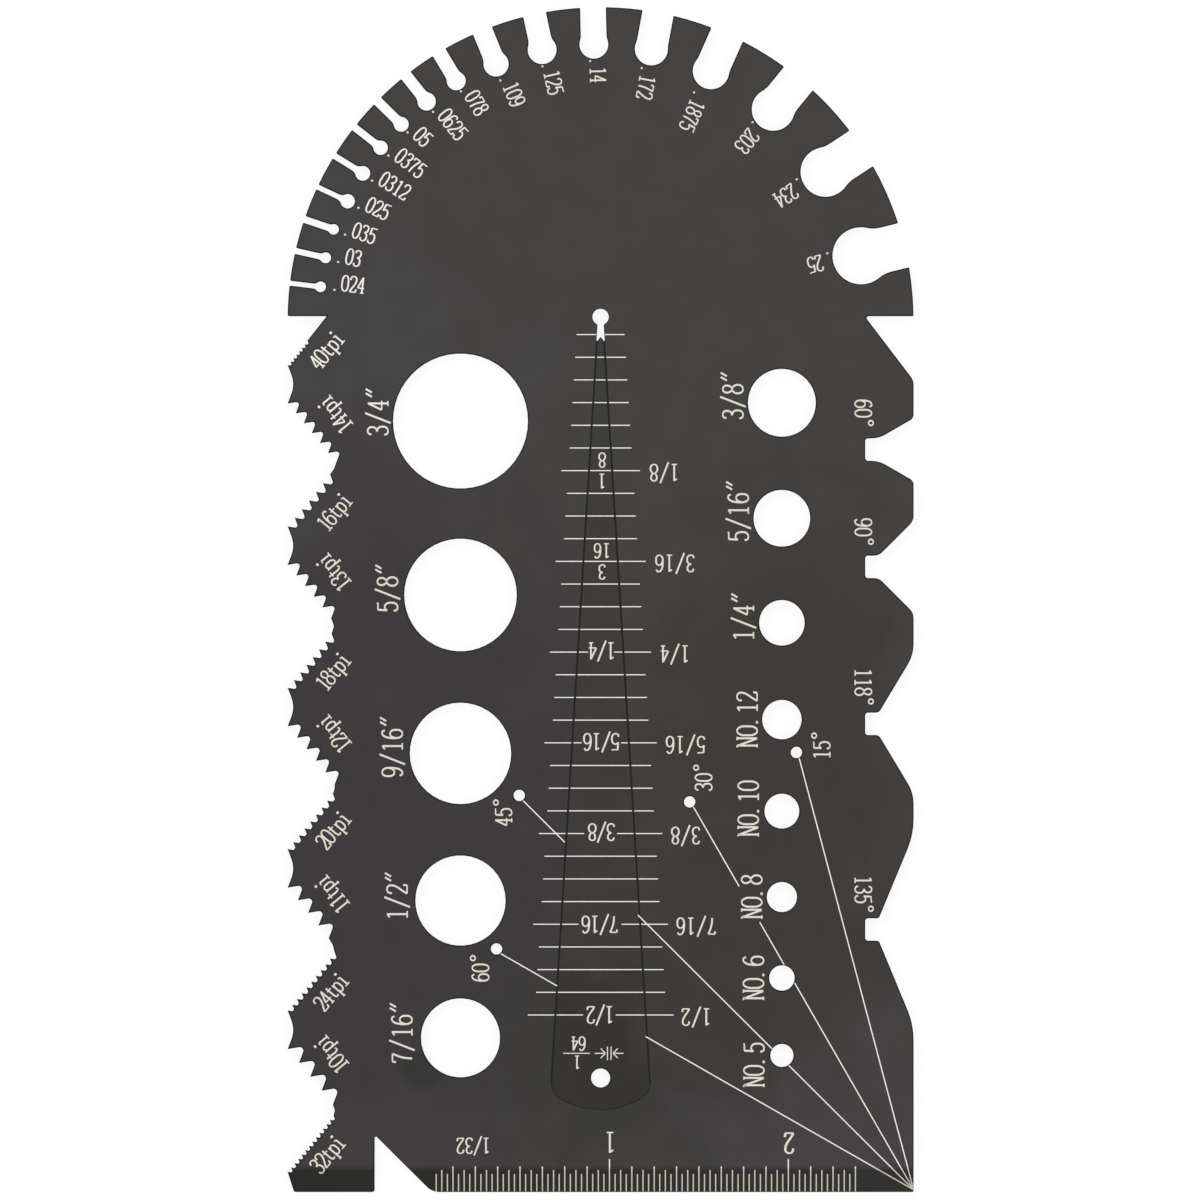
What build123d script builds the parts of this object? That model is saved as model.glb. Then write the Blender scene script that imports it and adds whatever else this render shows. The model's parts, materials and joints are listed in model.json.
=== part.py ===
from build123d import *
from math import atan2, cos, degrees, floor, radians, sin, sqrt, tan
import os

# A flat steel shop gauge, lying on its back: a plate cut with gauging slots, teeth, notches and holes,
# and a taper leaf that lies flush in a slot of the plate. X runs across the plate and Y up it, from
# foot to head. Heights are measured up from the bottom edge. The origin is under the middle.

inch = 25.4

# How close to its reckoned place a corner lies, where corners are picked out to be rounded
near = 0.1

# Plate and its round head, which is as wide as the plate
plate_width = 88.9
thickness = 1.6
corner_radius = 0.2
shoulder_rise = 0.575
undercut_height = 9.1
left_undercut_depth = 5.55
right_undercut_depth = 6.95
undercut_radius = 0.3
undercut_foot_radius = 2.0

# Bevel on the marked face along the bottom edge, which is a ruler
ruler_bevel_width = 3.4
ruler_bevel_drop = 0.6

# Wire and sheet slots round the head: nominal size in inches, direction in degrees,
# radius of the drilled root, and distance from the rim to the middle of the root
slot_sizes = [
    (0.024, 173.2, 0.76, 4.4),
    (0.030, 167.2, 0.77, 4.4),
    (0.035, 161.2, 0.75, 4.4),
    (0.025, 154.8, 1.02, 4.75),
    (0.0312, 148.3, 1.05, 4.75),
    (0.0375, 141.9, 1.02, 4.75),
    (0.050, 135.5, 1.06, 4.75),
    (0.0625, 128.5, 1.30, 4.75),
    (0.078, 121.1, 1.34, 4.75),
    (0.109, 112.2, 1.78, 5.15),
    (0.125, 102.2, 2.04, 5.15),
    (0.140, 91.4, 2.04, 5.25),
    (0.172, 79.4, 2.34, 5.25),
    (0.1875, 66.1, 2.58, 5.75),
    (0.203, 50.7, 3.04, 5.75),
    (0.234, 33.4, 3.53, 6.2),
    (0.250, 13.9, 4.05, 6.35),
]
slot_clearance = 0.08
mouth_chamfer = 0.12

# Thread pitch rows down the left edge, in threads per inch: one under the shoulder,
# then one on the upper and one on the lower flank of each bay. The finest roots are left flat
shoulder_threads = 40
shoulder_crest_count = 8
thread_bays = [(14, 16), (13, 18), (12, 20), (11, 24), (10, 32)]
highest_peak_drop = 9.67
lowest_peak_height = 0.13
peak_half_gap = 2.74
row_lean = 39.2
thread_flank = 60
thread_root_share = 0.2
least_round_root = 0.27
peak_root_radius = 3.7
valley_land = 0.25
valley_root_radius = 0.8
least_valley_flank = 8

# Foot at the lower left, with its 45 degree notch
foot_inset = 0.9
foot_width = 12.36
foot_radius = 0.35
foot_notch_size = 8.15
foot_notch_top_radius = 0.2
foot_notch_ease = 2.5

# Drill point notches up the right edge: included angle, length of the plain edge below it,
# easing radius at the mouth, and radius where the V opens into the relief
point_notches = [
    (135, 23.8, 11.0, 0.5),
    (118, 5.92, 5.6, 0.8),
    (90, 5.99, 1.9, 1.7),
    (60, 5.7, 1.0, 4.2),
]
top_land_length = 5.42
point_depth = 4.93
relief_length = 1.94
relief_width = 3.175
relief_radius = 0.4

# Sizing holes: nominal diameter in inches and height of the centre, in two columns, each set in
# from its own side of the plate
left_column_inset = 24.55
left_column = [(3 / 4, 109.5), (5 / 8, 84.8), (9 / 16, 62.3), (1 / 2, 41.4), (7 / 16, 21.9)]
right_column_inset = 18.7
right_column = [
    (3 / 8, 112.1),
    (5 / 16, 95.7),
    (1 / 4, 80.85),
    (0.216, 67.1),
    (0.190, 54.1),
    (0.164, 41.9),
    (0.138, 30.4),
    (0.125, 19.4),
]
hole_clearance = 0.1

# Marking holes on the protractor rays, which all start on the right edge, a little above its
# lower corner: angle from the edge and distance along the ray
protractor_height = 0.33
protractor_rays = [(15, 64.3), (30, 63.6), (45, 79.2), (60, 68.4)]
marking_hole_diameter = 1.6

# Taper leaf: one 64th of an inch wider for each step of its scale
scale_steps_per_inch = 64
scale_step = 3.2205
half_inch_mark_height = 25.16
leaf_tip_width = 0.9
leaf_tip_length = 0.55
leaf_corner_height = 14.2
leaf_corner_radius = 2.5
leaf_end_bulge = 2.45
leaf_hole_height = 16.2
leaf_hole_diameter = 2.7

# Slot that the leaf lies in, with a keyhole beyond its tip
side_gap = 0.12
end_gap = 0.04
tip_to_keyhole = 2.83
keyhole_diameter = 2.3
keyhole_neck_radius = 0.3

# Heights that follow from the stack of notches up the right edge
half_width = plate_width / 2
notch_mouths = [relief_width + 2 * point_depth * tan(radians(row[0] / 2)) for row in point_notches]
undercut_foot_height = sum(notch_mouths) + sum(row[1] for row in point_notches) + top_land_length
shoulder_height = undercut_foot_height + undercut_height
head_centre_height = shoulder_height - shoulder_rise
overall_height = head_centre_height + half_width
rim_end_x = sqrt(half_width**2 - shoulder_rise**2)
sheet = Plane(origin=(0, -overall_height / 2, 0))
bevel_plane = Plane(
    origin=(-half_width, -overall_height / 2, thickness), x_dir=(0, 1, 0), z_dir=(1, 0, 0)
)

# Rows of teeth: the peaks between the bays, from the top down, and the way that the rows lean
highest_peak_height = shoulder_height - highest_peak_drop
bay_pitch = (highest_peak_height - lowest_peak_height) / len(thread_bays)
peaks = [
    Vector(-half_width, highest_peak_height - bay_pitch * count) for count in range(len(thread_bays) + 1)
]
inward_lean = Vector(sin(radians(row_lean)), -cos(radians(row_lean)))
outward_lean = Vector(-inward_lean.X, inward_lean.Y)
row_length = (bay_pitch / 2 - peak_half_gap) / cos(radians(row_lean)) - valley_land

# Taper of the leaf, as its gain in width for each millimetre down, and where its sides would meet
taper = inch / scale_steps_per_inch / scale_step
taper_zero_height = half_inch_mark_height + scale_steps_per_inch / 2 * scale_step
leaf_shoulder_height = taper_zero_height - leaf_tip_width / taper
leaf_tip_height = leaf_shoulder_height + leaf_tip_length
keyhole_height = leaf_tip_height + tip_to_keyhole


def wire_slot(size, root_radius, reach):
    """A throat that runs out along X past the rim, with a drilled root that it blends into
    and chamfered corners at its mouth."""
    half_throat = (size * inch + slot_clearance) / 2
    root_x = half_width - reach
    neck_x = root_x + sqrt(root_radius**2 - half_throat**2)
    mouth_x = sqrt(half_width**2 - half_throat**2) - mouth_chamfer
    with BuildSketch() as slot:
        with Locations((root_x, 0)):
            Circle(root_radius)
            Rectangle(2 * reach, 2 * half_throat, align=(Align.MIN, Align.CENTER))
        necks = [v for v in slot.vertices() if abs(v.X - neck_x) < near]
        fillet(necks, root_radius)
        with Locations((mouth_x - half_throat, 0)):
            Rectangle(reach, reach, rotation=-45, align=(Align.MIN, Align.MIN))
    return slot.sketch


def taper_side(height, gap=0):
    """The right side of the leaf at a height, or of its slot with a gap beside the leaf."""
    return Vector((taper_zero_height - height) * taper / 2 + gap, height)


def taper_shape(top_points, gap, end_clearance):
    """The area between the two sides of the taper, closed below by a round end with eased corners."""
    corner = taper_side(leaf_corner_height, gap)
    end = Vector(0, leaf_corner_height - leaf_end_bulge - end_clearance)
    left_points = [Vector(-point.X, point.Y) for point in reversed(top_points) if point.X > 0]
    left_corner = Vector(-corner.X, corner.Y)
    with BuildSketch() as shape:
        with BuildLine():
            Polyline(corner, *top_points, *left_points, left_corner)
            ThreePointArc(left_corner, end, corner)
        make_face()
        corners = [v for v in shape.vertices() if abs(v.Y - leaf_corner_height) < near]
        fillet(corners, leaf_corner_radius + gap)
    return shape.sketch


def notch(start, end, flank, root_radius):
    """A V between two crests, cut in on the left of the way from start to end. Its root is round,
    or flat where it is too small to be worth rounding."""
    along = (end - start).normalized()
    inward = Vector(-along.Y, along.X)
    apex = (start + end) / 2 + inward * ((end - start).length / 2 * tan(radians(flank)))
    tangent = root_radius * tan(radians(flank))
    into_root = apex + (start - apex).normalized() * tangent
    out_of_root = apex + (end - apex).normalized() * tangent
    root = apex - inward * (root_radius / cos(radians(flank)) - root_radius)
    if root_radius < least_round_root:
        Polyline(start, into_root, out_of_root, end)
        return
    Line(start, into_root)
    ThreePointArc(into_root, root, out_of_root)
    Line(out_of_root, end)


def thread_row(crest, lean, threads, crests):
    """Teeth at the pitch of the thread, from a first crest. Returns the last one."""
    pitch = inch / threads
    for _ in range(crests - 1):
        next_crest = crest + lean * pitch
        notch(crest, next_crest, thread_flank, thread_root_share * pitch)
        crest = next_crest
    return crest


def crests_in_bay(threads):
    """How many crests of a thread fit on one flank of a bay."""
    return 1 + floor(row_length * threads / inch)


def innermost_crest(peak, threads, crests):
    """Where a row starts that runs out to the upper side of a peak."""
    return peak + Vector(0, peak_half_gap) - outward_lean * ((crests - 1) * inch / threads)


def left_edge():
    """The undercut and all rows of teeth, from the shoulder down to the foot. Returns the last crest."""
    crest = innermost_crest(peaks[0], shoulder_threads, shoulder_crest_count)
    Line((left_undercut_depth - half_width, shoulder_height), crest)
    crest = thread_row(crest, outward_lean, shoulder_threads, shoulder_crest_count)
    for (upper_threads, lower_threads), peak_below in zip(thread_bays, peaks[1:]):
        bay_top = crest - Vector(0, 2 * peak_half_gap)
        notch(crest, bay_top, thread_flank - row_lean, peak_root_radius)
        crest = thread_row(bay_top, inward_lean, upper_threads, crests_in_bay(upper_threads))
        lower_crests = crests_in_bay(lower_threads)
        valley_end = innermost_crest(peak_below, lower_threads, lower_crests)
        valley = valley_end - crest
        valley_lean = degrees(atan2(abs(valley.X), -valley.Y))
        valley_flank = max(thread_flank - row_lean - valley_lean, least_valley_flank)
        notch(crest, valley_end, valley_flank, valley_root_radius)
        crest = thread_row(valley_end, outward_lean, lower_threads, lower_crests)
    return crest


def point_notch(angle, axis_height, mouth_ease, shoulder_radius):
    """The corners of one drill point notch, going up the edge, each with its radius."""
    half_relief = relief_width / 2
    half_mouth = half_relief + point_depth * tan(radians(angle / 2))
    steps = [
        (0, half_mouth, mouth_ease),
        (point_depth, half_relief, shoulder_radius),
        (point_depth + relief_length, half_relief, relief_radius),
    ]
    lower = [(half_width - depth, axis_height - half, radius) for depth, half, radius in steps]
    upper = [(half_width - depth, axis_height + half, radius) for depth, half, radius in reversed(steps)]
    return lower + upper


def foot_and_right_edge(last_crest):
    """From the last tooth round the foot and up the right edge to the right shoulder."""
    foot_notch_x = foot_width - half_width
    corners = [
        (foot_inset - half_width, 0, foot_radius),
        (foot_notch_x, 0, foot_radius),
        (foot_notch_x, foot_notch_size, foot_notch_top_radius),
        (foot_notch_x + foot_notch_size, 0, foot_notch_ease),
        (half_width, 0, corner_radius),
    ]
    height = 0
    for (angle, land, mouth_ease, shoulder_radius), mouth in zip(point_notches, notch_mouths):
        corners += point_notch(angle, height + land + mouth / 2, mouth_ease, shoulder_radius)
        height += land + mouth
    corners.append((half_width, undercut_foot_height, undercut_foot_radius))
    corners.append((half_width - right_undercut_depth, shoulder_height, undercut_radius))
    path = [last_crest] + [(x, y) for x, y, _ in corners] + [(rim_end_x, shoulder_height)]
    FilletPolyline(path, radius=[radius for _, _, radius in corners])


wire_slots = [
    (wire_slot(size, root_radius, reach), direction)
    for size, direction, root_radius, reach in slot_sizes
]
sizing_holes = [(left_column_inset - half_width, height, size) for size, height in left_column]
sizing_holes += [(half_width - right_column_inset, height, size) for size, height in right_column]
marking_holes = [
    (half_width - reach * sin(radians(angle)), protractor_height + reach * cos(radians(angle)))
    for angle, reach in protractor_rays
]

with BuildSketch() as leaf_slot:
    add(taper_shape([taper_side(keyhole_height, side_gap)], side_gap, end_gap))
    with Locations((0, keyhole_height)):
        Circle(keyhole_diameter / 2)
    foot_of_keyhole = keyhole_height - keyhole_diameter / 2
    neck_corners = leaf_slot.vertices().filter_by_position(
        Axis.Y, foot_of_keyhole, foot_of_keyhole + keyhole_diameter / 4
    )
    fillet(neck_corners, keyhole_neck_radius)

with BuildPart() as gauge_plate:
    with BuildSketch(sheet) as plate_face:
        with BuildLine():
            ThreePointArc((rim_end_x, shoulder_height), (0, overall_height), (-rim_end_x, shoulder_height))
            Line((-rim_end_x, shoulder_height), (left_undercut_depth - half_width, shoulder_height))
            foot_and_right_edge(left_edge())
        make_face()
        with Locations((0, head_centre_height)):
            for slot, direction in wire_slots:
                add(slot, rotation=direction, mode=Mode.SUBTRACT)
        add(leaf_slot.sketch, mode=Mode.SUBTRACT)
        for x, height, size in sizing_holes:
            with Locations((x, height)):
                Circle((size * inch + hole_clearance) / 2, mode=Mode.SUBTRACT)
        with Locations(marking_holes):
            Circle(marking_hole_diameter / 2, mode=Mode.SUBTRACT)
        shoulder_corners = plate_face.vertices().filter_by_position(
            Axis.Y, shoulder_height - near, shoulder_height + near
        )
        shoulder_corners = shoulder_corners.sort_by(Axis.X)
        fillet([shoulder_corners[0], shoulder_corners[-1]], corner_radius)
    extrude(amount=thickness)
    with BuildSketch(bevel_plane):
        with BuildLine():
            Polyline((0, 0), (ruler_bevel_width, 0), (0, -ruler_bevel_drop), close=True)
        make_face()
    extrude(amount=plate_width, mode=Mode.SUBTRACT)
gauge_plate.part.label = "gauge_plate"

with BuildPart() as taper_leaf:
    with BuildSketch(sheet):
        add(taper_shape([taper_side(leaf_shoulder_height), Vector(0, leaf_tip_height)], 0, 0))
        with Locations((0, leaf_hole_height)):
            Circle(leaf_hole_diameter / 2, mode=Mode.SUBTRACT)
    extrude(amount=thickness)
taper_leaf.part.label = "taper_leaf"

os.makedirs("parts", exist_ok=True)
export_step(gauge_plate.part, "parts/gauge_plate.step")
export_step(taper_leaf.part, "parts/taper_leaf.step")
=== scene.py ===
import json
from math import cos, radians, sin

import bmesh
import bpy
from mathutils import Matrix, Vector


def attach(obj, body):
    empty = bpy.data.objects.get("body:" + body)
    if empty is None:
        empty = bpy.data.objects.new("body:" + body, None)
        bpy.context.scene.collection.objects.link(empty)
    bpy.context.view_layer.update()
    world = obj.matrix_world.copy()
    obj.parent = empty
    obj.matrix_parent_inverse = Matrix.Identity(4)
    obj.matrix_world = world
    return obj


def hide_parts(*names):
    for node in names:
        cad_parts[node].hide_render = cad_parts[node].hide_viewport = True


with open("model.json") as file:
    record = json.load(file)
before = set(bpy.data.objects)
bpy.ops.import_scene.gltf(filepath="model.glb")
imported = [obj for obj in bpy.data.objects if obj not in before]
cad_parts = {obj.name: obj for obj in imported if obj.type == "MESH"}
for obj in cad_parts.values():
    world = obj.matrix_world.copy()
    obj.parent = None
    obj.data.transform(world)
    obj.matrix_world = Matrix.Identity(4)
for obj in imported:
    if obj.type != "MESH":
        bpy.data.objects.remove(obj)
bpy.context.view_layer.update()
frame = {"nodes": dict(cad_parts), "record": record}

# A flat steel shop gauge on its back, blackened, with its scales and sizes filled in cream.
# Lengths are in millimetres until they reach a mesh. Heights are measured up from the bottom edge.

mm = 0.001
inch = 25.4

# The plate and its leaf, as the frame has them
plate_width = 88.9
half_width = plate_width / 2
overall_height = 168.272
thickness = 1.6
head_centre_height = 123.822
ruler_bevel_width = 3.4
ruler_bevel_drop = 0.6
leaf_tip_height = 121.46
leaf_tip_length = 0.55
leaf_hole = next(mount for mount in frame["record"]["mounts"] if mount["name"] == "leaf_hole")

# How wide the broken edges are, and those along the leaf and its slot, which are cut finely
edge_break = 0.16
seam_edge_break = 0.07
break_segments = 3

# Bounds of the leaf's slot: a height near its round end, one just above its keyhole, and half of its
# width with room to spare. The leaf's own hole isn't part of the seam, nor is what lies this near round it
slot_end_height = 11.6
slot_top_height = head_centre_height + 5
slot_reach = 8
hole_rim = 0.1

# Up to this height, round the leaf's wide end, the seam is so tight that it hardly shows
tight_seam_top = 16.2

# Where the ruler's bevel runs out across a fine tooth: how far in from the left edge, and up or down
cut_tooth_inset = 2
cut_tooth_reach = 0.3

# How upright a face's normal is on a wall, on a level face, and on one that is shaded flat
wall_normal = 0.1
level_normal = 0.9
flat_shaded_normal = 0.98
sharp_corner_degrees = 40

# How near to each other points are merged, how flat a joint between two faces is cleared away, and how
# near to a cut a point counts as on it
merge_distance = 0.001
flat_joint_degrees = 0.5
cut_distance = 0.0001


def up_mesh(height):
    """A height as meshes have it, whose origin is under the middle of the plate."""
    return (height - overall_height / 2) * mm


def height_at(y):
    """The height on the plate of a place on a mesh."""
    return y / mm + overall_height / 2


# The two steel pieces

def smooth_walls(shape):
    """Flat faces stay flat, and the walls of holes and slots are shaded round."""
    for face in shape.faces:
        face.smooth = abs(face.normal.z) < flat_shaded_normal
    for edge in shape.edges:
        edge.smooth = edge.calc_face_angle(0) < radians(sharp_corner_degrees)


def middle_of(edge):
    """Where the middle of an edge is, seen from above."""
    return (edge.verts[0].co.xy + edge.verts[1].co.xy) / 2


def is_rim(edge):
    """Whether an edge parts a level face from one that isn't."""
    return sorted(abs(face.normal.z) > level_normal for face in edge.link_faces) == [False, True]


def is_at_seam(edge):
    """Whether an edge runs along the leaf or its slot."""
    middle = middle_of(edge)
    from_hole = (middle - Vector(leaf_hole["pos_m"][:2])).length
    return (
        abs(middle.x) < slot_reach * mm
        and slot_end_height - 1 < height_at(middle.y) < slot_top_height
        and from_hole > (leaf_hole["dims"]["r_mm"] + hole_rim) * mm
    )


def is_cut_by_ruler_bevel(edge):
    """Whether an edge is on the fine tooth that the ruler's bevel runs out across, which stays sharp."""
    middle = middle_of(edge)
    return (
        middle.x < (cut_tooth_inset - half_width) * mm
        and abs(height_at(middle.y) - ruler_bevel_width) < cut_tooth_reach
    )


def eased_copy(node, name, finishes):
    """A node's shape with its cut edges broken, as they are before steel is blackened. It stands for the
    node. Its walls and broken edges take the second finish, which is darker as painted shade, but where
    the seam is tight the broken edges keep the finish of the face."""
    mesh = frame["nodes"][node].data.copy()
    mesh.name = name
    mesh.materials.clear()
    for finish in finishes:
        mesh.materials.append(finish)
    shape = bmesh.new()
    shape.from_mesh(mesh)
    bmesh.ops.remove_doubles(shape, verts=shape.verts, dist=merge_distance * mm)
    bmesh.ops.dissolve_limit(
        shape, angle_limit=radians(flat_joint_degrees), verts=shape.verts, edges=shape.edges)
    for face in shape.faces:
        face.material_index = 1 if abs(face.normal.z) < wall_normal else 0
    for at_seam, offset in ((False, edge_break), (True, seam_edge_break)):
        rims = [
            edge for edge in shape.edges
            if is_rim(edge) and is_at_seam(edge) == at_seam and not is_cut_by_ruler_bevel(edge)
        ]
        broken = bmesh.ops.bevel(
            shape, geom=rims, offset=offset * mm, offset_type="OFFSET", affect="EDGES",
            segments=break_segments, profile=0.5, material=-1, clamp_overlap=False,
        )
        for face in broken["faces"]:
            height = height_at(face.calc_center_median().y)
            face.material_index = 0 if at_seam and height < tight_seam_top else 1
    smooth_walls(shape)
    shape.to_mesh(mesh)
    shape.free()
    piece = bpy.data.objects.new(name, mesh)
    bpy.context.scene.collection.objects.link(piece)
    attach(piece, "root")
    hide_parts(node)
    return piece


# Lettering, drawn with a broad pen, so that upright strokes are heavier than level ones

# Each letter is a few strokes in a cell. Level 0 is the foot line and 20 the top of a figure, and the
# cell's middle is at 0 across. A stroke of two points is straight and a longer one is a smooth curve,
# closed where it ends at its first point.
letter_height = 20
letters = {
    "0": [[(0, 20), (3, 17.8), (4.2, 10), (3, 2.2), (0, 0), (-3, 2.2), (-4.2, 10), (-3, 17.8), (0, 20)]],
    "1": [[(0.6, 0), (0.6, 20)], [(0.6, 19.6), (-2.6, 17.4)], [(-2.8, 0.1), (3.6, 0.1)]],
    "2": [
        [(-3.7, 15.2), (-3.1, 18.4), (0.1, 20), (3.4, 18.4), (4, 15), (2.6, 10.6), (-1, 5.2), (-4, 0.5)],
        [(-4.2, 0.2), (3.9, 0.2)],
        [(3.9, 0.2), (4.5, 4)],
    ],
    "3": [
        [(-3.6, 16.4), (-2.8, 19), (-0.1, 20), (3, 18.4), (3.5, 15.4), (2.4, 12.2), (-0.8, 10.8)],
        [(-0.8, 10.8), (2.8, 9.4), (4, 5.5), (3, 1.6), (-0.2, 0), (-3, 1), (-4, 3.6)],
    ],
    "4": [
        [(1.9, 0), (1.9, 20)],
        [(1.9, 19.6), (-4.4, 6.4)],
        [(-4.4, 6.2), (4.6, 6.2)],
        [(-0.6, 0.1), (4.3, 0.1)],
    ],
    "5": [
        [(-2.9, 19.4), (3.4, 19.4)],
        [(3.4, 19.2), (3.8, 20.4)],
        [(-2.9, 19.4), (-3.4, 10.4)],
        [(-3.4, 10.6), (-2, 12.2), (0.4, 12.7), (3, 11), (4.1, 6.6), (3, 1.8), (-0.2, 0), (-3.1, 1.1),
         (-4, 3.8)],
    ],
    "6": [
        [(3.6, 17.4), (2.4, 19.6), (0.4, 20), (-2.4, 17.6), (-3.8, 12.4), (-4.1, 7), (-2.9, 1.8), (0.1, 0),
         (3.1, 1.6), (4.1, 6.2), (3.1, 10.6), (0.3, 12.2), (-2.4, 10.8), (-3.8, 7.4)],
    ],
    "7": [
        [(-3.6, 19.4), (4.2, 19.4)],
        [(-3.6, 19.4), (-4, 16)],
        [(4.2, 19.2), (1.8, 13.6), (0.1, 7), (-0.4, 0)],
    ],
    "8": [
        [(0, 20), (2.8, 18.5), (3.5, 15.6), (2.3, 12.3), (0, 10.8), (-2.3, 12.3), (-3.5, 15.6), (-2.8, 18.5),
         (0, 20)],
        [(0, 10.8), (3, 9), (4.2, 5.4), (3.1, 1.6), (0, 0), (-3.1, 1.6), (-4.2, 5.4), (-3, 9), (0, 10.8)],
    ],
    "9": [
        [(-3.6, 2.6), (-2.4, 0.4), (-0.4, 0), (2.4, 2.4), (3.8, 7.6), (4.1, 13), (2.9, 18.2), (-0.1, 20),
         (-3.1, 18.4), (-4.1, 13.8), (-3.1, 9.4), (-0.3, 7.8), (2.4, 9.2), (3.8, 12.6)],
    ],
    ".": [[(-2.8, 0.8), (-2.3, 0.3), (-2.8, -0.2), (-3.3, 0.3), (-2.8, 0.8)]],
    "/": [[(-4.9, -2.6), (4.9, 22.6)]],
    "\"": [[(-4, 16), (-0.6, 22)], [(0.2, 16), (3.7, 22)]],
    "°": [[(0.3, 22), (3.2, 19.1), (0.3, 16.2), (-2.6, 19.1), (0.3, 22)]],
    "N": [
        [(-3.4, 0), (-3.4, 20)],
        [(-3.8, 20), (3.6, 0.2)],
        [(3.8, 0.2), (3.8, 20)],
        [(-5.2, 0.1), (-1.8, 0.1)],
        [(2, 19.9), (5.2, 19.9)],
        [(-5.2, 19.9), (-3.4, 19.9)],
    ],
    "O": [
        [(0, 20), (3.2, 17.8), (4.4, 10), (3.2, 2.2), (0, 0), (-3.2, 2.2), (-4.4, 10), (-3.2, 17.8), (0, 20)],
    ],
    "t": [[(-1, 17.4), (-1, 10), (-0.7, 2.4), (1, 0.3), (3.4, 1.6)], [(-3.6, 13), (3, 13)]],
    "p": [
        [(-3, -5.4), (-3, 13)],
        [(-4.4, 13), (-3, 13)],
        [(-4.6, -5.4), (-1.2, -5.4)],
        [(-3, 9.4), (-1.4, 12.2), (0.8, 13), (3.2, 11), (4, 6.6), (3.2, 2), (0.8, 0), (-1.4, 0.8), (-3, 3.4)],
    ],
    "i": [
        [(0.4, 0), (0.4, 13)],
        [(-2.6, 13), (0.4, 13)],
        [(-3, 0.1), (3.8, 0.1)],
        [(0.2, 20), (1, 19.2), (0.2, 18.4), (-0.6, 19.2), (0.2, 20)],
    ],
}

# Widths of level and of upright strokes in the largest figures, and how the pen grows with the figures
light_stroke = 0.22
heavy_stroke = 0.31
largest_figure_height = 2.88
pen_growth = 0.6

# Width of a plain line, and how high its enamel stands above the face in the middle
line_stroke = 0.17
fill_height = 0.012


def pen_width(before, after, height):
    """How wide the pen draws on the way between two points of a letter, in figures of some height. A
    smaller figure has a finer pen, though not in full proportion."""
    run = Vector(after) - Vector(before)
    width = light_stroke + (heavy_stroke - light_stroke) * abs(run.y) / run.length
    return width * (height / largest_figure_height) ** pen_growth


def letter_strokes(text, centre, turn, height, pitch, slimness=1, boldness=1):
    """The strokes of a line of figures, centred on a spot and turned anticlockwise. Every point of a
    stroke is its place across, its height on the plate, and its width."""
    along = Vector((cos(radians(turn)), sin(radians(turn))))
    upwards = Vector((-along.y, along.x))
    unit = height / letter_height
    strokes = []
    for place, letter in enumerate(text):
        cell = Vector(centre) + along * (place - (len(text) - 1) / 2) * pitch
        for points in letters.get(letter, []):
            closed = len(points) > 2 and points[0] == points[-1]
            last = len(points) - 1
            stroke = []
            for count, (x, y) in enumerate(points):
                before = points[-2] if closed and count == 0 else points[max(count - 1, 0)]
                after = points[1] if closed and count == last else points[min(count + 1, last)]
                spot = cell + along * x * unit * slimness + upwards * (y - letter_height / 2) * unit
                stroke.append((spot.x, spot.y, pen_width(before, after, height) * boldness))
            strokes.append(stroke)
    return strokes


def line(start, end, width=line_stroke):
    """One straight stroke between two spots."""
    return [(start[0], start[1], width), (end[0], end[1], width)]


def surface_level(x, height):
    """How high the marked face is. It falls away along the ruler's edge, and at the broken edges."""
    level = thickness - ruler_bevel_drop * max(0, 1 - height / ruler_bevel_width)
    into_break = min(edge_break, max(0, x - half_width + edge_break, edge_break - height))
    return level - edge_break + (edge_break ** 2 - into_break ** 2) ** 0.5


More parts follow.
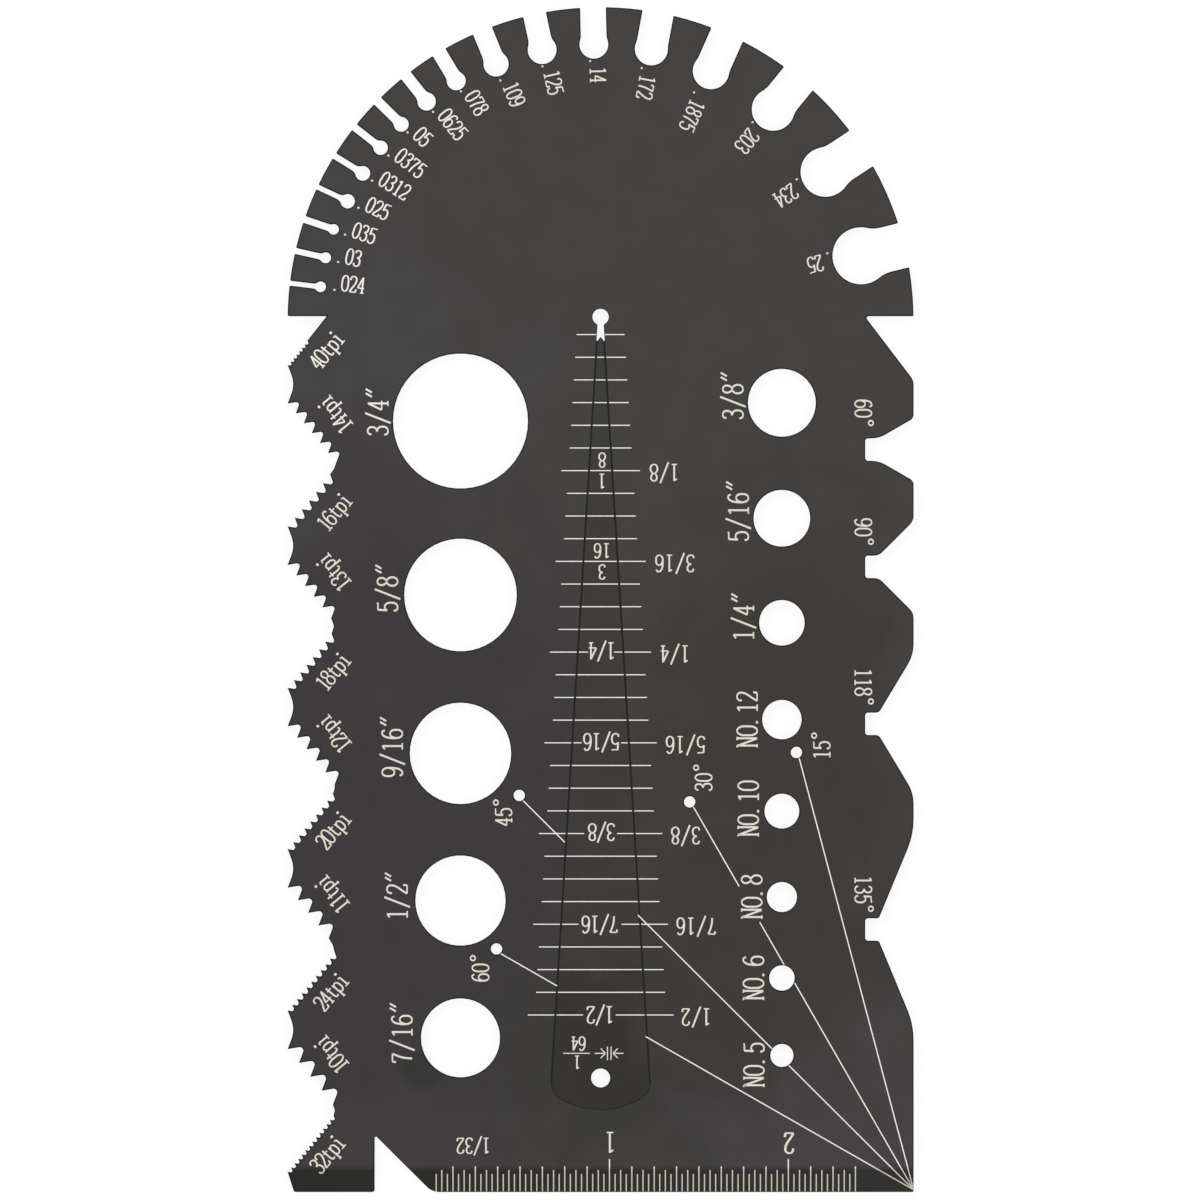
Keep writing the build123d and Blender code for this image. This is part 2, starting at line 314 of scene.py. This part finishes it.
def fill_marks(name, marks):
    """Figures and lines filled with enamel: each stroke a low domed bead, half sunk in the marked face.
    The bevel is half a millimetre deep, so a knot's radius is the stroke's width in millimetres."""
    curve = bpy.data.curves.new(name, "CURVE")
    curve.dimensions = "3D"
    curve.resolution_u = 3
    curve.bevel_depth = mm / 2
    curve.bevel_resolution = 1
    curve.use_fill_caps = True
    for enamel, strokes in zip((figure_enamel, line_enamel), marks):
        if strokes:
            curve.materials.append(enamel)
        for stroke in strokes:
            closed = len(stroke) > 2 and stroke[0] == stroke[-1]
            points = stroke[:-1] if closed else stroke
            spline = curve.splines.new("BEZIER")
            spline.material_index = len(curve.materials) - 1
            spline.use_cyclic_u = closed
            spline.bezier_points.add(len(points) - 1)
            for knot, (x, height, width) in zip(spline.bezier_points, points):
                knot.co = (x * mm, up_mesh(height), 0)
                knot.handle_left_type = knot.handle_right_type = "AUTO" if len(points) > 2 else "VECTOR"
                knot.radius = width
    drawing = bpy.data.objects.new(name + "_drawing", curve)
    bpy.context.scene.collection.objects.link(drawing)
    bpy.context.view_layer.update()
    drawn = drawing.evaluated_get(bpy.context.evaluated_depsgraph_get())
    mesh = bpy.data.meshes.new_from_object(drawn)
    mesh.name = name
    bpy.data.objects.remove(drawing)

    shape = bmesh.new()
    shape.from_mesh(mesh)
    flatten = Matrix.Diagonal((1, 1, fill_height / (line_stroke / 2), 1))
    bmesh.ops.transform(shape, matrix=flatten, verts=shape.verts)
    for x, height, facing in (
        (0, ruler_bevel_width, (0, 1, 0)),
        (0, edge_break, (0, 1, 0)),
        (half_width - edge_break, 0, (1, 0, 0)),
    ):
        bmesh.ops.bisect_plane(
            shape, geom=shape.verts[:] + shape.edges[:] + shape.faces[:], dist=cut_distance * mm,
            plane_co=(x * mm, up_mesh(height), 0), plane_no=facing,
        )
    for vertex in shape.verts:
        vertex.co.z += surface_level(vertex.co.x / mm, height_at(vertex.co.y)) * mm
    bmesh.ops.recalc_face_normals(shape, faces=shape.faces)
    for face in shape.faces:
        face.smooth = True
    shape.to_mesh(mesh)
    shape.free()
    piece = bpy.data.objects.new(name, mesh)
    bpy.context.scene.collection.objects.link(piece)
    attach(piece, "root")
    return piece


# What is marked on the gauge, each set as the strokes of its figures and those of its plain lines

# Sizes at the slots round the head: the figures, the slot's direction in degrees, how far its point
# lies from the middle of the head, and the slot's size in inches. They read inwards
slot_labels = [
    (".024", 173.2, 38.07, 0.024),
    (".03", 167.2, 38.19, 0.03),
    (".035", 161.2, 38.3, 0.035),
    (".025", 154.8, 37.93, 0.025),
    (".0312", 148.3, 38.05, 0.0312),
    (".0375", 141.9, 38.15, 0.0375),
    (".05", 135.5, 38.26, 0.05),
    (".0625", 128.5, 37.98, 0.0625),
    (".078", 121.1, 38.09, 0.078),
    (".109", 112.2, 36.92, 0.109),
    (".125", 102.2, 36.99, 0.125),
    (".14", 91.4, 36.85, 0.14),
    (".172", 79.4, 36.28, 0.172),
    (".1875", 66.1, 34.97, 0.1875),
    (".203", 50.7, 35.43, 0.203),
    (".234", 33.4, 34.29, 0.234),
    (".25", 13.9, 33.55, 0.25),
]
slot_figure_height = 2.24
slot_figure_pitch = 1.14
slot_figure_slimness = 0.92

# Where a point is in its cell of a letter, across and up, and how far it stands to the side of its slot's
# middle line, which is more where half the slot is wider than a limit
point_in_cell = 2.8
point_level = 0.3
point_aside = 0.2
aside_share = 0.65
narrow_half_slot = 1.2


def slot_marks():
    figures = []
    unit = slot_figure_height / letter_height
    for text, direction, reach, size in slot_labels:
        outwards = Vector((cos(radians(direction)), sin(radians(direction))))
        anticlockwise = Vector((-outwards.y, outwards.x))
        aside = point_aside + aside_share * max(0, size * inch / 2 - narrow_half_slot)
        point = Vector((0, head_centre_height)) + outwards * reach + anticlockwise * aside
        to_middle = (len(text) - 1) / 2 * slot_figure_pitch + point_in_cell * unit
        centre = point - outwards * to_middle - anticlockwise * (letter_height / 2 - point_level) * unit
        figures += letter_strokes(
            text, centre, direction + 180, slot_figure_height, slot_figure_pitch, slot_figure_slimness)
    return figures, []


# Threads per inch at the rows of teeth: how far in from the left edge the label's middle is, and how
# far above the peak below it, or below the peak above it
highest_peak_height = 114.727
bay_pitch = 22.919
lower_flank_labels = [
    ("40tpi", 5.51, 4.84),
    ("16tpi", 6.64, 4.8),
    ("18tpi", 6.46, 5.07),
    ("20tpi", 6.48, 5.45),
    ("24tpi", 6.16, 5.42),
    ("32tpi", 5.65, 5.27),
]
upper_flank_labels = [
    ("14tpi", 6.75, 4.34),
    ("13tpi", 6.53, 3.82),
    ("12tpi", 6.58, 3.84),
    ("11tpi", 6.31, 3.68),
    ("10tpi", 6.2, 3.5),
]
row_turn = 50.8
thread_figure_height = 2.32
thread_figure_pitch = 1.14


def thread_marks():
    figures = []
    for bay, (text, inset, rise) in enumerate(lower_flank_labels):
        centre = (inset - half_width, highest_peak_height - bay * bay_pitch + rise)
        figures += letter_strokes(text, centre, row_turn, thread_figure_height, thread_figure_pitch)
    for bay, (text, inset, drop) in enumerate(upper_flank_labels):
        centre = (inset - half_width, highest_peak_height - bay * bay_pitch - drop)
        figures += letter_strokes(text, centre, 180 - row_turn, thread_figure_height, thread_figure_pitch)
    return figures, []


# Labels that read upwards beside the sizing holes. Each has how far its middle is to the left of the
# hole's edge, and above the hole's middle
hole_labels = {
    "hole_3_4": ("3/4\"", 2.15, 1.32),
    "hole_5_8": ("5/8\"", 2.37, 1.01),
    "hole_9_16": ("9/16\"", 2.49, 0.96),
    "hole_1_2": ("1/2\"", 2.59, 0.69),
    "hole_7_16": ("7/16\"", 2.7, 0.75),
    "hole_3_8": ("3/8\"", 2.15, 1.03),
    "hole_5_16": ("5/16\"", 2.18, 1.04),
    "hole_1_4": ("1/4\"", 2.24, 0.88),
    "hole_no_12": ("NO.12", 2.15, 0.02),
    "hole_no_10": ("NO.10", 2.32, 0.39),
    "hole_no_8": ("NO.8", 2.15, 0.07),
    "hole_no_6": ("NO.6", 2.24, 0.04),
    "hole_no_5": ("NO.5", 2.34, -1.31),
}
fraction_pitch = 1.8
number_pitch = 1.61


def hole_marks():
    figures = []
    for mount in frame["record"]["mounts"]:
        if mount["name"] not in hole_labels:
            continue
        text, gap, rise = hole_labels[mount["name"]]
        x = mount["pos_m"][0] / mm
        height = height_at(mount["pos_m"][1])
        centre = (x - mount["dims"]["r_mm"] - gap, height + rise)
        pitch = number_pitch if text.startswith("N") else fraction_pitch
        figures += letter_strokes(text, centre, 90, largest_figure_height, pitch)
    return figures, []


# Included angles of the drill point notches, which read downwards
notch_labels = [("60°", 105.44, 5.16), ("90°", 88.79, 4.95), ("118°", 66.49, 5.25), ("135°", 37.29, 5.01)]
notch_label_inset = 7.14
small_figure_height = 2.36
small_figure_pitch = 1.35


def notch_marks():
    figures = []
    for text, axis_height, rise in notch_labels:
        centre = (half_width - notch_label_inset, axis_height + rise)
        figures += letter_strokes(text, centre, -90, small_figure_height, small_figure_pitch)
    return figures, []


# Protractor rays from the lower right corner: the angle from the right edge, the same as it was drawn,
# the lengths that are drawn, how far out the hole near the ray's end is, and how far the label's middle
# is across and up from that hole
protractor_height = 0.33
rays = [
    (15, 14.85, [(0.46, 63.4)], 64.3, (3.58, 1)),
    (30, 29.9, [(0.22, 33.9), (36.9, 43.85), (49.7, 62.7)], 63.6, (1.98, 3.47)),
    (45, 45.1, [(0.13, 25), (28.4, 55.28), (69.93, 78.3)], 79.2, (-2.24, -2.39)),
    (60, 60.23, [(0.1, 43.84), (58.33, 67.5)], 68.4, (-2.27, -2.69)),
]


def protractor_marks():
    figures, lines = [], []
    corner = Vector((half_width, protractor_height))
    for angle, drawn_angle, lengths, hole_reach, (across, up) in rays:
        ray = Vector((-sin(radians(drawn_angle)), cos(radians(drawn_angle))))
        for start, end in lengths:
            lines.append(line(corner + ray * start, corner + ray * end))
        hole = corner + Vector((-sin(radians(angle)), cos(radians(angle)))) * hole_reach
        label = f"{angle}°"
        centre = hole + Vector((across, up))
        figures += letter_strokes(label, centre, 90, small_figure_height, small_figure_pitch)
    return figures, lines


# Ruler along the bottom edge, in 32nds of an inch: where it starts, its marks, and how high they reach,
# which is more at every second, fourth and 32nd mark
ruler_zero = -24.14
last_ruler_mark = 76
ruler_step = inch / 32
ruler_line = 0.18
ruler_foot = 0.03
ruler_reaches = [(1, 2.58), (2, 3.15), (4, 3.65), (32, 4.71)]

# Its labels, which stand on their heads: their places, the height and pitch of their figures, and how
# much bolder than usual they are
ruler_labels = [
    ("1/32", (-18.04, 6.59), 2.17, 1.22, 1),
    ("1", (1.4, 7.04), largest_figure_height, fraction_pitch, 1),
    ("2", (26.81, 6.97), largest_figure_height, fraction_pitch, 1.15),
]


def ruler_marks():
    figures, lines = [], []
    for count in range(1, last_ruler_mark + 1):
        x = ruler_zero + count * ruler_step
        reach = max(reach for every, reach in ruler_reaches if count % every == 0)
        lines.append(line((x, ruler_foot), (x, reach), ruler_line))
    for text, centre, height, pitch, boldness in ruler_labels:
        figures += letter_strokes(text, centre, 180, height, pitch, boldness=boldness)
    return figures, lines


# Scale of the taper, in 64ths of an inch of its width, up to half an inch. The plate has one mark more
# than the leaf, at the narrow end
scale_steps_per_inch = 64
scale_step = 3.2205
half_inch_mark_height = 25.16
half_inch_mark = 32
first_plate_mark = 2
first_leaf_mark = 3
taper = inch / scale_steps_per_inch / scale_step
taper_zero_height = half_inch_mark_height + half_inch_mark * scale_step

# Its marks stop short of the seam, and reach out over the plate, further where they have a label
side_gap = 0.12
mark_from_edge = 0.1
short_overhang = 3.0
long_overhang = 4.0
scale_line = 0.15

# Labels right of the leaf, with how far across their middles are, and how much lower than their marks
outer_labels = {
    8: ("1/8", 9.05),
    12: ("3/16", 10.56),
    16: ("1/4", 10.56),
    20: ("5/16", 12.07),
    24: ("3/8", 12.09),
    28: ("7/16", 13.59),
    32: ("1/2", 13.61),
}
outer_label_drop = 0.29
outer_figure_pitch = 1.47

# Labels that stand in a mark of the leaf: where the mark stops and starts again, and the label's middle
# across and above the mark
inner_labels = {
    16: ("1/4", -1.79, 1.9, 0.18, 0.15),
    20: ("5/16", -2.71, 2.9, 0.11, 0.13),
    24: ("3/8", -2.36, 2.33, 0.14, 0.2),
    28: ("7/16", -3.15, 2.98, -0.12, -0.04),
    32: ("1/2", -2.5, 2.14, -0.04, 0.01),
}
inner_figure_pitch = 1.32

# Fractions that stand across a mark of the leaf, where it is too narrow for them
stacked_labels = {8: ("1", "8"), 12: ("3", "16")}
stacked_figure_height = 2.04
stacked_figure_pitch = 1.3
stacked_rise = 1.5
stacked_across = 0.22

# Two signs near the wide end of the leaf. One is a 64th: where its bar starts and ends, and its figures,
# with how far across and above the bar their middles are, and how high they are
sign_height = 19.72
fraction_bar = (-5.32, -1.5)
fraction_figures = [("64", -3.15, 1.37, 1.93), ("1", -3.3, -1.3, 1.85)]
fraction_figure_pitch = 1.04

# The other is two arrows that close on a gap: the two posts, and each arrow's tail, tip and barbs
gap_posts = (0.97, 1.49)
post_reach = 0.95
arrows = [(-0.85, 0.68, 0.02), (3.22, 1.77, 2.43)]
barb_reach = 0.68
sign_line = 0.17


def leaf_half_width(height):
    """Half of the leaf's width at some height."""
    return (taper_zero_height - height) * taper / 2


def scale_height(count):
    """The height of the mark for some number of 64ths of an inch."""
    return half_inch_mark_height + (half_inch_mark - count) * scale_step


def taper_marks():
    """The part of the scale that is on the plate, on both sides of the leaf."""
    figures, lines = [], []
    for count in range(first_plate_mark, half_inch_mark + 1):
        height = scale_height(count)
        inner = leaf_half_width(height) + side_gap + mark_from_edge
        outer = leaf_half_width(height) + (long_overhang if count in outer_labels else short_overhang)
        lines.append(line((-outer, height), (-inner, height), scale_line))
        lines.append(line((inner, height), (outer, height), scale_line))
        if count in outer_labels:
            text, across = outer_labels[count]
            centre = (across, height - outer_label_drop)
            figures += letter_strokes(text, centre, 180, small_figure_height, outer_figure_pitch)
    return figures, lines


def sign_marks():
    """The sign for one 64th, and the sign of the arrows."""
    strokes = [line((fraction_bar[0], sign_height), (fraction_bar[1], sign_height), scale_line)]
    for text, across, above, height in fraction_figures:
        strokes += letter_strokes(text, (across, sign_height + above), 180, height, fraction_figure_pitch)
    for x in gap_posts:
        strokes.append(line((x, sign_height - post_reach), (x, sign_height + post_reach), sign_line))
    for tail, tip, barbs in arrows:
        strokes.append(line((tail, sign_height), (tip, sign_height), sign_line))
        for side in (-barb_reach, barb_reach):
            strokes.append(line((barbs, sign_height + side), (tip, sign_height), sign_line))
    return strokes


def leaf_marks():
    """The part of the scale that is on the leaf."""
    figures, lines = sign_marks(), []
    for count in range(first_leaf_mark, half_inch_mark + 1):
        height = scale_height(count)
        outer = leaf_half_width(height) - mark_from_edge
        if count in inner_labels:
            text, stops, starts, across, above = inner_labels[count]
            lines.append(line((-outer, height), (stops, height), scale_line))
            lines.append(line((starts, height), (outer, height), scale_line))
            centre = (across, height + above)
            figures += letter_strokes(text, centre, 180, small_figure_height, inner_figure_pitch)
        else:
            lines.append(line((-outer, height), (outer, height), scale_line))
    for count, (over, under) in stacked_labels.items():
        for text, rise in ((under, stacked_rise), (over, -stacked_rise)):
            centre = (stacked_across, scale_height(count) + rise)
            figures += letter_strokes(text, centre, 180, stacked_figure_height, stacked_figure_pitch)
    return figures, lines


# Finishes

def linear(code):
    """An sRGB hex code as the linear colour that a shader takes."""
    parts = [int(code[start:start + 2], 16) / 255 for start in (1, 3, 5)]
    return [part / 12.92 if part <= 0.04045 else ((part + 0.055) / 1.055) ** 2.4 for part in parts] + [1]


def node(tree, kind, inputs=None, **settings):
    """Adds a node with its own settings, and its inputs as values or as links."""
    made = tree.nodes.new(kind)
    for name, value in settings.items():
        setattr(made, name, value)
    for name, value in (inputs or {}).items():
        if isinstance(value, bpy.types.NodeSocket):
            tree.links.new(value, made.inputs[name])
        else:
            made.inputs[name].default_value = value
    return made


def new_finish(name):
    """A material with no nodes yet."""
    finish = bpy.data.materials.new(name)
    finish.use_nodes = True
    finish.node_tree.nodes.clear()
    return finish, finish.node_tree


# Uneven edges of the large soft patches: how long their waves are, and how far they wander. A patch that
# reaches less far than a limit keeps its own shape
patch_wave = 16
patch_wander = 14
small_patch = 5

# How far in from its edge the middle of a patch starts, as a share of its reach, and how softly the
# ruler's bevel starts
patch_core = 0.45
bevel_blend = 0.5

# What the bath, the oil and the grinding leave on the face, in mm. The grain of the grinding is drawn
# coarser than it is, so that it shows
cloud_size = 5
cloud_range = (0.86, 1.14)
grain_size = 0.35
grain_depth = 0.01
rough_spread = 0.05

# How uneven the enamel is, and where on the head it is nearly white
wipe_size = 1.2
wipe_depth = 0.005
white_patch = (-44, 138, 38, 44)


def wandering_place(tree, place):
    """The place on the piece, moved a little this way and that, so that soft patches get uneven edges."""
    noise = node(
        tree, "ShaderNodeTexNoise",
        {"Vector": place, "Scale": 1 / (patch_wave * mm), "Detail": 3.0}, normalize=False)
    wander = (patch_wander * mm, patch_wander * mm, 0)
    return node(tree, "ShaderNodeVectorMath", {
        0: noise.outputs["Color"], 1: wander, 2: place}, operation="MULTIPLY_ADD").outputs[0]


def patch_share(tree, place, across, height, reach_across, reach_up):
    """1 in the middle of a soft patch, and 0 beyond its reach."""
    middle = (across * mm, up_mesh(height), 0)
    away = node(tree, "ShaderNodeVectorMath", {0: place, 1: middle}, operation="SUBTRACT")
    part = node(tree, "ShaderNodeVectorMath", {
        0: away.outputs[0], 1: (1 / (reach_across * mm), 1 / (reach_up * mm), 0)}, operation="MULTIPLY")
    length = node(tree, "ShaderNodeVectorMath", {0: part.outputs[0]}, operation="LENGTH")
    return node(tree, "ShaderNodeMapRange", {
        "Value": length.outputs["Value"], "From Min": 1.0, "From Max": patch_core},
        interpolation_type="SMOOTHSTEP").outputs["Result"]


def bevel_share(tree, place):
    """1 on the ruler's bevel, and 0 on the flat face above it and on the underside."""
    apart = node(tree, "ShaderNodeSeparateXYZ", {"Vector": place}).outputs
    low = node(tree, "ShaderNodeMapRange", {
        "Value": apart["Y"],
        "From Min": up_mesh(ruler_bevel_width + bevel_blend),
        "From Max": up_mesh(ruler_bevel_width - bevel_blend)}, interpolation_type="SMOOTHSTEP")
    marked_side = node(tree, "ShaderNodeMath", {
        0: apart["Z"], 1: thickness / 2 * mm}, operation="GREATER_THAN")
    return node(tree, "ShaderNodeMath", {
        0: low.outputs["Result"], 1: marked_side.outputs[0]}, operation="MULTIPLY").outputs[0]


def mixed(tree, share, first, second):
    """A colour that goes from the first to the second as the share grows."""
    return node(tree, "ShaderNodeMix", {0: share, 6: first, 7: second}, data_type="RGBA").outputs[2]


def black_oxide(name, face, patches, roughness, sheen=0.2):
    """Black oxide on ground sheet steel, oiled and wiped. It is a thin satin skin, nearly black, that
    mirrors hardly anything; its tone drifts over centimetres where the bath and the oil differed, and
    the grinding under it leaves a fine grain. The ruler's bevel is drawn darker, more so on the left:
    painted shade of its tilted facet. Each patch is a colour, its middle and its reach."""
    finish, tree = new_finish(name)
    place = node(tree, "ShaderNodeTexCoord").outputs["Object"]
    moved = wandering_place(tree, place)
    tone = linear(face)
    for colour, *extent in patches:
        spot = place if max(extent[2:]) < small_patch else moved
        tone = mixed(tree, patch_share(tree, spot, *extent), tone, linear(colour))
    across = node(tree, "ShaderNodeSeparateXYZ", {"Vector": place}).outputs["X"]
    rightwards = node(tree, "ShaderNodeMapRange", {
        "Value": across, "From Min": -half_width * mm, "From Max": half_width * mm}).outputs["Result"]
    # Painted shade: the ruler's bevel is drawn darker, more so on the left, as its tilted facet is shaded
    bevel_painted_shade = mixed(tree, rightwards, linear("#171613"), linear("#222120"))
    tone = mixed(tree, bevel_share(tree, place), tone, bevel_painted_shade)
    cloud = node(tree, "ShaderNodeTexNoise", {"Vector": place, "Scale": 1 / (cloud_size * mm), "Detail": 4.0})
    lighter = node(tree, "ShaderNodeMapRange", {
        "Value": cloud.outputs["Fac"], "To Min": cloud_range[0], "To Max": cloud_range[1]})
    tone = node(tree, "ShaderNodeVectorMath", {0: tone, 1: lighter.outputs["Result"]}, operation="MULTIPLY")
    grain = node(tree, "ShaderNodeTexNoise", {"Vector": place, "Scale": 1 / (grain_size * mm), "Detail": 3.0})
    rough = node(tree, "ShaderNodeMapRange", {
        "Value": grain.outputs["Fac"],
        "To Min": roughness - rough_spread,
        "To Max": roughness + rough_spread})
    bump = node(tree, "ShaderNodeBump", {
        "Height": grain.outputs["Fac"], "Strength": 0.12, "Distance": grain_depth * mm})
    shader = node(tree, "ShaderNodeBsdfPrincipled", {
        "Base Color": tone.outputs[0], "Roughness": rough.outputs["Result"], "Specular IOR Level": sheen,
        "Normal": bump.outputs["Normal"], "IOR": 1.5})
    node(tree, "ShaderNodeOutputMaterial", {"Surface": shader.outputs["BSDF"]})
    return finish


def filled_marking(name, dull, bright):
    """Enamel wiped into an etched line. It is matt, a little thicker in places, and nearly white on the
    head. On the ruler's bevel it is drawn darker, as painted shade of the tilted facet."""
    finish, tree = new_finish(name)
    place = node(tree, "ShaderNodeTexCoord").outputs["Object"]
    wipe = node(tree, "ShaderNodeTexNoise", {"Vector": place, "Scale": 1 / (wipe_size * mm), "Detail": 2.0})
    tone = mixed(tree, wipe.outputs["Fac"], linear(dull), linear(bright))
    tone = mixed(tree, patch_share(tree, place, *white_patch), tone, linear("#f0ece2"))
    # Painted shade: darker enamel on the ruler's bevel
    tone = mixed(tree, bevel_share(tree, place), tone, linear("#cec9b6"))
    bump = node(tree, "ShaderNodeBump", {
        "Height": wipe.outputs["Fac"], "Strength": 0.1, "Distance": wipe_depth * mm})
    shader = node(tree, "ShaderNodeBsdfPrincipled", {
        "Base Color": tone, "Roughness": 0.6, "Specular IOR Level": 0.2, "Normal": bump.outputs["Normal"]})
    node(tree, "ShaderNodeOutputMaterial", {"Surface": shader.outputs["BSDF"]})
    return finish


# Where the face is drawn in another tone: its colour, how far across and up its middle is, and its reach
plate_patches = [
    ("#393738", -38, 112, 34, 44),
    ("#312e30", -32, 52, 44, 70),
    ("#2e2d2b", 12, 20, 38, 26),
    ("#3a3739", 40, 6, 34, 26),
    ("#332e2a", 27, 56, 29, 52),
    # A small darker patch along the lower left edge of the 7/16 hole
    ("#292829", -25.3, 17.3, 4.4, 3.4),
]
leaf_patches = [
    ("#302f2d", 0, 116, 20, 22),
    # Darker towards the leaf's wide end
    ("#272521", 0, 13, 24, 27),
]
plate_face = black_oxide("black_oxide_plate", "#383634", plate_patches, 0.42)
# The edge finishes are black oxide drawn far darker than the faces: painted shade along every broken edge,
# wall and the seam round the leaf
plate_edge = black_oxide("black_oxide_plate_edge_painted_shade", "#121110", [], 0.5, sheen=0.1)
leaf_face = black_oxide("black_oxide_leaf", "#312e2b", leaf_patches, 0.42)
leaf_edge = black_oxide("black_oxide_leaf_edge_painted_shade", "#171614", [], 0.5, sheen=0.1)
figure_enamel = filled_marking("figure_enamel", "#dcd6c7", "#e8e3d6")
line_enamel = filled_marking("line_enamel", "#f2efe6", "#fbf9f2")

plate = eased_copy("gauge_plate", "blackened_plate", [plate_face, plate_edge])
leaf = eased_copy("taper_leaf", "blackened_leaf", [leaf_face, leaf_edge])

fill_marks("slot_numbers", slot_marks())
fill_marks("thread_numbers", thread_marks())
fill_marks("hole_numbers", hole_marks())
fill_marks("notch_numbers", notch_marks())
fill_marks("protractor_lines", protractor_marks())
fill_marks("ruler_lines", ruler_marks())
fill_marks("taper_scale_on_plate", taper_marks())
fill_marks("taper_scale_on_leaf", leaf_marks())


# Floor, light and camera

floor_half_width = 6000
floor_drop = 0.05
floor_mesh = bpy.data.meshes.new("floor")
floor_shape = bmesh.new()
bmesh.ops.create_grid(floor_shape, x_segments=1, y_segments=1, size=floor_half_width * mm)
bmesh.ops.translate(floor_shape, verts=floor_shape.verts, vec=(0, 0, -floor_drop * mm))
floor_shape.to_mesh(floor_mesh)
floor_shape.free()
floor = bpy.data.objects.new("floor", floor_mesh)
bpy.context.scene.collection.objects.link(floor)

# The floor glows white where it is seen, but hardly in the fine gap round the leaf, which is too deep and
# narrow
# to see the floor through: there the glow gives way to painted shade. The gap is taken a little wider than it
# is
floor_glow = 0.9
gap_painted_shade_glow = 0.02
gap_reach = 0.3

# How bright the sky is as light, and where it is seen
sky_light = 0.6
sky_glow = 1.0


def gap_painted_shade_share(tree):
    """Where painted shade darkens the floor: 1 under the leaf and the gap round it, apart from the leaf's own
    hole, and 0 elsewhere.
    """
    place = node(tree, "ShaderNodeTexCoord").outputs["Object"]
    apart = node(tree, "ShaderNodeSeparateXYZ", {"Vector": place}).outputs
    across = node(tree, "ShaderNodeMath", {0: apart["X"]}, operation="ABSOLUTE")
    widest = scale_height(half_inch_mark)
    reach = node(tree, "ShaderNodeMapRange", {
        "Value": apart["Y"],
        "From Min": up_mesh(leaf_tip_height),
        "From Max": up_mesh(widest),
        "To Min": (leaf_half_width(leaf_tip_height) + gap_reach) * mm,
        "To Max": (leaf_half_width(widest) + gap_reach) * mm}, clamp=False)
    hole_centre = (leaf_hole["pos_m"][0], leaf_hole["pos_m"][1], -floor_drop * mm)
    from_hole = node(tree, "ShaderNodeVectorMath", {0: place, 1: hole_centre}, operation="DISTANCE")
    share = 1
    for value, test, limit in (
        (across.outputs[0], "LESS_THAN", reach.outputs["Result"]),
        (from_hole.outputs["Value"], "GREATER_THAN", (leaf_hole["dims"]["r_mm"] + gap_reach) * mm),
        (apart["Y"], "GREATER_THAN", up_mesh(slot_end_height)),
        (apart["Y"], "LESS_THAN", up_mesh(leaf_tip_height - leaf_tip_length)),
    ):
        met = node(tree, "ShaderNodeMath", {0: value, 1: limit}, operation=test)
        share = node(tree, "ShaderNodeMath", {0: share, 1: met.outputs[0]}, operation="MULTIPLY").outputs[0]
    return share


def seen_directly(tree):
    """1 for what the camera sees, straight or in a reflection or through glass."""
    path = node(tree, "ShaderNodeLightPath").outputs
    seen = node(tree, "ShaderNodeMath", {
        0: path["Is Camera Ray"], 1: path["Is Glossy Ray"]}, operation="MAXIMUM")
    return node(tree, "ShaderNodeMath", {
        0: seen.outputs[0], 1: path["Is Transmission Ray"]}, operation="MAXIMUM").outputs[0]


floor_finish, tree = new_finish("white_studio_floor")
paper = node(tree, "ShaderNodeBsdfDiffuse", {"Color": linear("#f4f4f4")})
shown_paper = node(tree, "ShaderNodeBsdfDiffuse", {"Color": linear("#5f5f5f")})
# Painted shade: the floor's glow falls away under the leaf's gap
strength = node(tree, "ShaderNodeMapRange", {
    "Value": gap_painted_shade_share(tree), "To Min": floor_glow, "To Max": gap_painted_shade_glow})
glow = node(tree, "ShaderNodeEmission", {"Color": linear("#ffffff"), "Strength": strength.outputs["Result"]})
shown = node(tree, "ShaderNodeAddShader", {0: shown_paper.outputs[0], 1: glow.outputs[0]})
both = node(tree, "ShaderNodeMixShader", {0: seen_directly(tree), 1: paper.outputs[0], 2: shown.outputs[0]})
node(tree, "ShaderNodeOutputMaterial", {"Surface": both.outputs[0]})
floor_mesh.materials.append(floor_finish)

world = bpy.data.worlds.new("studio")
bpy.context.scene.world = world
world.use_nodes = True
tree = world.node_tree
tree.nodes.clear()
strength = node(tree, "ShaderNodeMapRange", {
    "Value": seen_directly(tree), "To Min": sky_light, "To Max": sky_glow})
sky = node(tree, "ShaderNodeBackground", {"Color": linear("#ffffff"), "Strength": strength.outputs["Result"]})
node(tree, "ShaderNodeOutputWorld", {"Surface": sky.outputs[0]})


def soft_lamp(name, position, size, power):
    """A square soft box that faces the middle of the plate."""
    light = bpy.data.lights.new(name, "AREA")
    light.size = size
    light.energy = power
    lamp = bpy.data.objects.new(name, light)
    lamp.location = position
    lamp.rotation_euler = (-Vector(position)).to_track_quat("-Z", "Y").to_euler()
    bpy.context.scene.collection.objects.link(lamp)


soft_lamp("key_soft_box", (-0.8, 0.7, 1.1), 0.9, 10)
soft_lamp("fill_soft_box", (1.0, -0.4, 1.0), 0.9, 5)

# The photograph is taken straight down from far away: the width of its frame at the marked face, and
# where on the plate the middle of the frame is
frame_width = 170.39
frame_middle = (-0.085, -0.05)
camera_data = bpy.data.cameras.new("camera")
camera_data.sensor_width = 36
camera_data.lens = 600
camera = bpy.data.objects.new("camera", camera_data)
distance = frame_width * camera_data.lens / camera_data.sensor_width
camera.location = (frame_middle[0] * mm, frame_middle[1] * mm, (thickness + distance) * mm)
camera_data.clip_end = 100
bpy.context.scene.collection.objects.link(camera)
bpy.context.scene.camera = camera
bpy.context.scene.view_settings.view_transform = "Standard"
